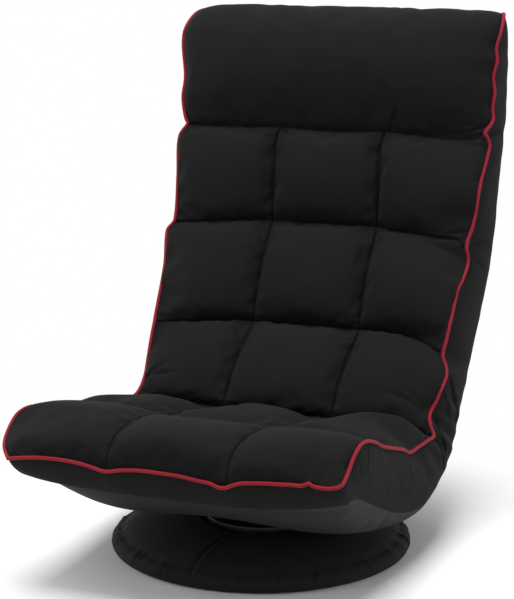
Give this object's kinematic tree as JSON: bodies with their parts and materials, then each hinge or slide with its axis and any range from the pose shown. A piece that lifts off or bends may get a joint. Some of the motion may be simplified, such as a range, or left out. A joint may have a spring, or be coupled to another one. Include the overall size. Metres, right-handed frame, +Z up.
{
  "type": "floor gaming chair",
  "caption": "Legless padded floor chair with a tufted seat and reclining back on a round swivel base",
  "frame": {"origin": "where the swivel axis meets the floor, on the underside of the base's floor pad", "axes": "+Z up; the sitter faces -Y; +X to the right in a view along +Y"},
  "size_m": [0.5344, 0.7826, 0.7828],
  "materials": {
    "black_fabric": "matte",
    "red_piping": "matte",
    "floor_pad": "matte",
    "zinc_steel": "satin",
    "black_painted_steel": "satin"
  },
  "bodies": {
    "base": {"base_ring": "black_painted_steel", "base_spokes": "black_painted_steel", "base_hub_plate": "black_painted_steel", "base_cover": "black_fabric", "base_floor_pad": "floor_pad", "base_bolts": "zinc_steel", "turntable_lower_plate": "zinc_steel", "turntable_king_pin": "zinc_steel"},
    "ball_ring": {"turntable_cage": "zinc_steel", "turntable_balls": "zinc_steel"},
    "seat": {"turntable_upper_plate": "zinc_steel", "seat_frame": "black_painted_steel", "seat_cross_rods": "black_painted_steel", "seat_strap_front": "black_painted_steel", "seat_strap_rear": "black_painted_steel", "seat_strap_bolts": "zinc_steel", "seat_hinge_arm_left": "black_painted_steel", "seat_hinge_arm_right": "black_painted_steel", "seat_cushion": "black_fabric", "seat_underside": "black_fabric", "seat_piping": "red_piping"},
    "back": {"back_frame": "black_painted_steel", "back_cross_rods": "black_painted_steel", "back_hinge_arm_left": "black_painted_steel", "back_hinge_arm_right": "black_painted_steel", "hinge_rivet_left": "zinc_steel", "hinge_rivet_right": "zinc_steel", "pawl_pin_left": "zinc_steel", "pawl_pin_right": "zinc_steel", "pawl_spring_left": "zinc_steel", "pawl_spring_right": "zinc_steel", "back_cushion": "black_fabric", "back_rear_pad": "black_fabric", "headrest_cushion": "black_fabric", "back_piping": "red_piping"},
    "pawl_left": {"pawl_left": "zinc_steel"},
    "pawl_right": {"pawl_right": "zinc_steel"}
  },
  "joints": [
    {"name": "swivel", "type": "hinge", "parent": "base", "child": "seat", "pos_m": [0, 0, 0], "axis": [0, 0, 1], "continuous": true},
    {"name": "ball_ring_turn", "type": "hinge", "parent": "base", "child": "ball_ring", "pos_m": [0, 0, 0], "axis": [0, 0, 1], "continuous": true},
    {"name": "back_recline", "type": "hinge", "parent": "seat", "child": "back", "pos_m": [0, 0.095, 0.167], "axis": [-1, 0, 0], "range_deg": [-22.5, 67.5]},
    {"name": "pawl_left_turn", "type": "hinge", "parent": "back", "child": "pawl_left", "pos_m": [-0.205, 0.12638, 0.19784], "axis": [1, 0, 0], "range_deg": [0, 9]},
    {"name": "pawl_right_turn", "type": "hinge", "parent": "back", "child": "pawl_right", "pos_m": [0.205, 0.12638, 0.19784], "axis": [1, 0, 0], "range_deg": [0, 9]}
  ],
  "couplings": [
    {"joint": "ball_ring_turn", "follows": "swivel", "ratio": 0.5}
  ]
}
